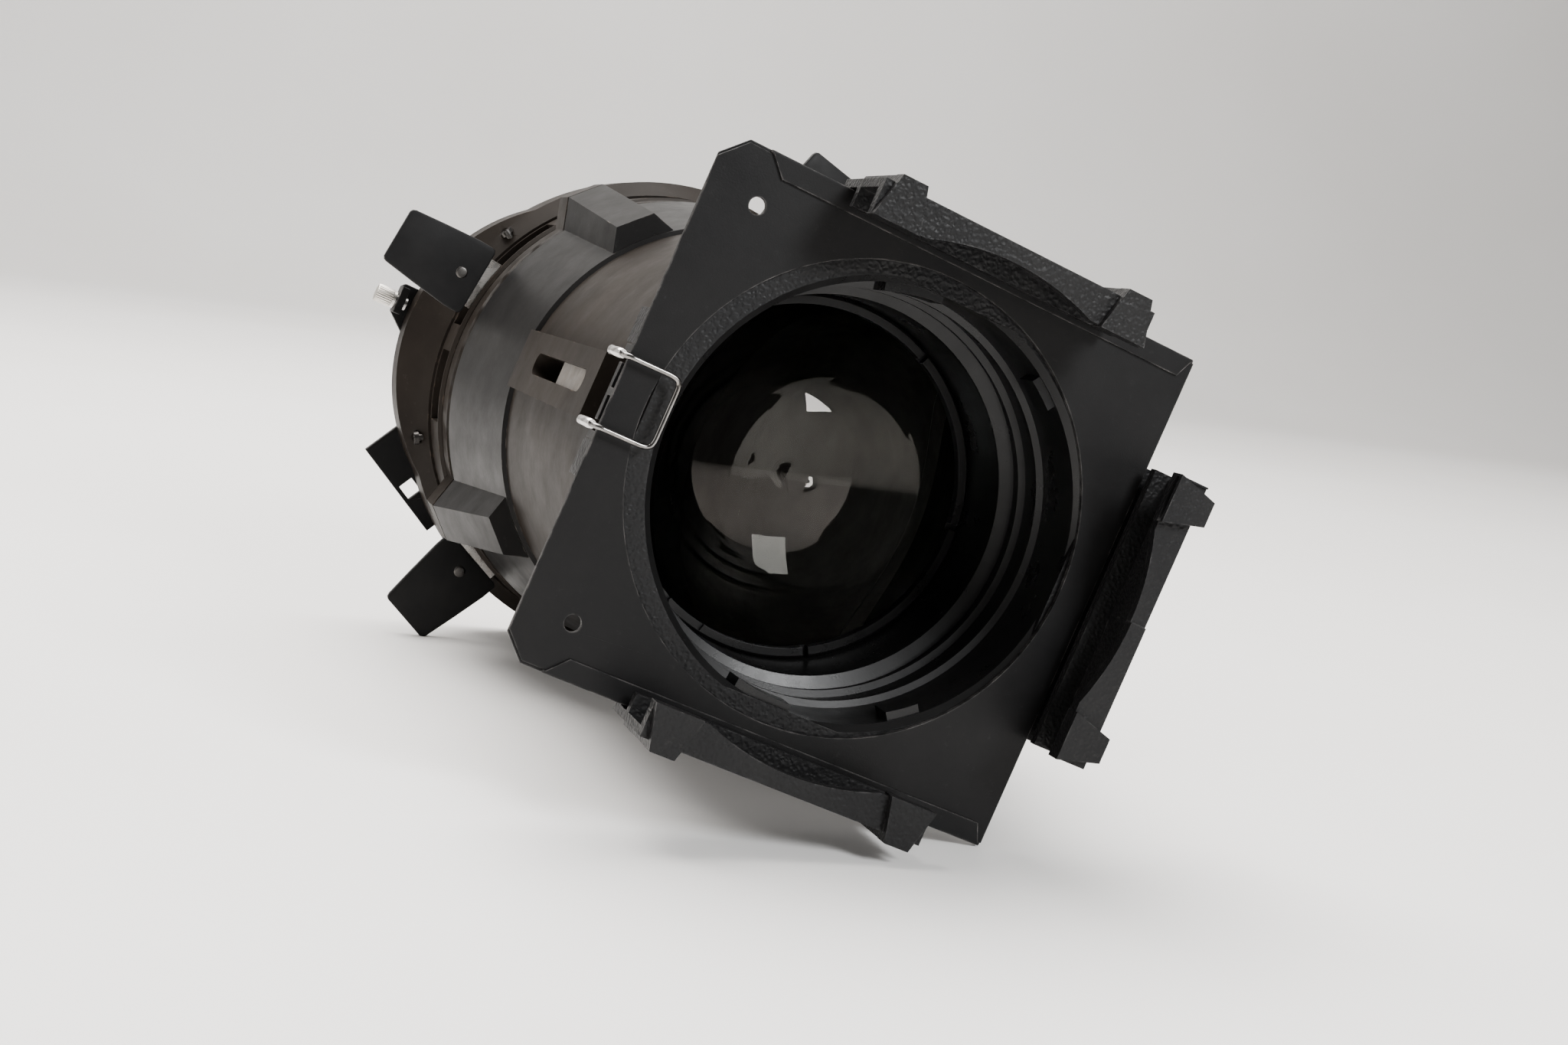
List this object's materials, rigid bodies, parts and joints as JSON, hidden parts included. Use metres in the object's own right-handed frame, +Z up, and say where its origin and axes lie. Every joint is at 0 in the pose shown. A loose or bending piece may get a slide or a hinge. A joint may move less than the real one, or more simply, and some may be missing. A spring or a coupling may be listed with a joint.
{
  "type": "profile spotlight lens barrel",
  "caption": "Front end of a profile spotlight: lens tube with square colour frame and wire clip, focusing in a flared barrel with a framing-shutter gate.",
  "frame": {"origin": "centre of the footprint, at the level of the table that the object lies on", "axes": "+Y runs back along the lens axis, away from the mouth; +Z is up as the object lies on its side"},
  "size_m": [0.2384, 0.3356, 0.2124],
  "materials": {
    "black_casting": "wrinkle black paint on die-cast aluminium",
    "bronze_casting": "satin dark grey-brown paint on die-cast aluminium",
    "black_sheet": "satin black paint on sheet steel",
    "zinc_steel": "zinc plated",
    "gate_steel": "plain sheet steel, dulled by heat",
    "blade_steel": "bare stainless sheet",
    "chrome_wire": "bright plated wire",
    "bare_aluminium": "bare, lightly worn",
    "brass_nut": "plain",
    "black_plastic": "matt moulded, heat resistant",
    "gasket_rubber": "matt",
    "lens_glass": "polished clear"
  },
  "bodies": {
    "barrel": {"barrel_upper": "bronze_casting", "barrel_lower": "bronze_casting", "barrel_bolts": "zinc_steel", "guide_key": "bare_aluminium", "gate_front_ring": "bronze_casting", "gate_housing": "bronze_casting", "front_guide_plate": "gate_steel", "blade_spacers": "gate_steel", "gate_plate": "gate_steel", "slot_screws": "zinc_steel", "rear_plate": "black_sheet", "rear_screws": "zinc_steel", "lock_bracket": "black_sheet"},
    "lens_tube": {"lens_tube_left": "black_casting", "lens_tube_right": "black_casting", "tube_screws": "zinc_steel", "lens": "lens_glass", "lens_retainer": "black_casting", "lens_gasket": "gasket_rubber", "clip_bracket": "black_sheet", "clip_pin": "zinc_steel", "focus_nut": "brass_nut", "focus_stud": "zinc_steel"},
    "focus_lock": {"focus_washer": "zinc_steel", "focus_knob": "black_plastic"},
    "clip": {"retaining_clip": "chrome_wire", "clip_sleeves": "chrome_wire"},
    "colour_frame": {"frame_front_leaf": "black_sheet", "frame_back_leaf": "black_sheet"},
    "frame_lock": {"lock_stud": "zinc_steel", "lock_knob": "bare_aluminium"},
    "shutter_top": {"blade_top": "blade_steel", "handle_top": "black_plastic", "rivet_top": "zinc_steel"},
    "shutter_left": {"blade_left": "blade_steel", "handle_left": "black_plastic", "rivet_left": "zinc_steel"},
    "shutter_bottom": {"blade_bottom": "blade_steel", "handle_bottom": "black_plastic", "rivet_bottom": "zinc_steel"},
    "shutter_right": {"blade_right": "blade_steel", "handle_right": "black_plastic", "rivet_right": "zinc_steel"}
  },
  "joints": [
    {"name": "focus_slide", "type": "slide", "parent": "barrel", "child": "lens_tube", "axis": [0, -1, 0.0065], "range_m": [0, 0.038]},
    {"name": "focus_knob_turn", "type": "hinge", "parent": "lens_tube", "child": "focus_lock", "pos_m": [0.07473, -0.02696, 0.07348], "axis": [0.9562, -0.0019, -0.2927], "range_deg": [0, 540]},
    {"name": "clip_swing", "type": "hinge", "parent": "lens_tube", "child": "clip", "pos_m": [-0.07826, -0.12915, 0.12098], "axis": [0.2928, 0.0062, 0.9562], "range_deg": [-110, 0]},
    {"name": "colour_frame_slide", "type": "slide", "parent": "lens_tube", "child": "colour_frame", "axis": [-0.9562, 0.0019, 0.2927], "range_m": [-0.004, 0]},
    {"name": "frame_lock_turn", "type": "hinge", "parent": "barrel", "child": "frame_lock", "pos_m": [-0.10726, 0.16142, 0.13028], "axis": [-0.9562, 0.0019, 0.2927], "range_deg": [0, 720]},
    {"name": "shutter_top_slide", "type": "slide", "parent": "barrel", "child": "shutter_top", "axis": [-0.9148, 0.0026, 0.4039], "range_m": [0, 0.04]},
    {"name": "shutter_left_slide", "type": "slide", "parent": "barrel", "child": "shutter_left", "axis": [-0.6924, -0.0047, -0.7215], "range_m": [0, 0.04]},
    {"name": "shutter_bottom_slide", "type": "slide", "parent": "barrel", "child": "shutter_bottom", "axis": [0.927, -0.0024, -0.375], "range_m": [0, 0.04]},
    {"name": "shutter_right_slide", "type": "slide", "parent": "barrel", "child": "shutter_right", "axis": [0.4852, 0.0057, 0.8744], "range_m": [0, 0.04]}
  ]
}
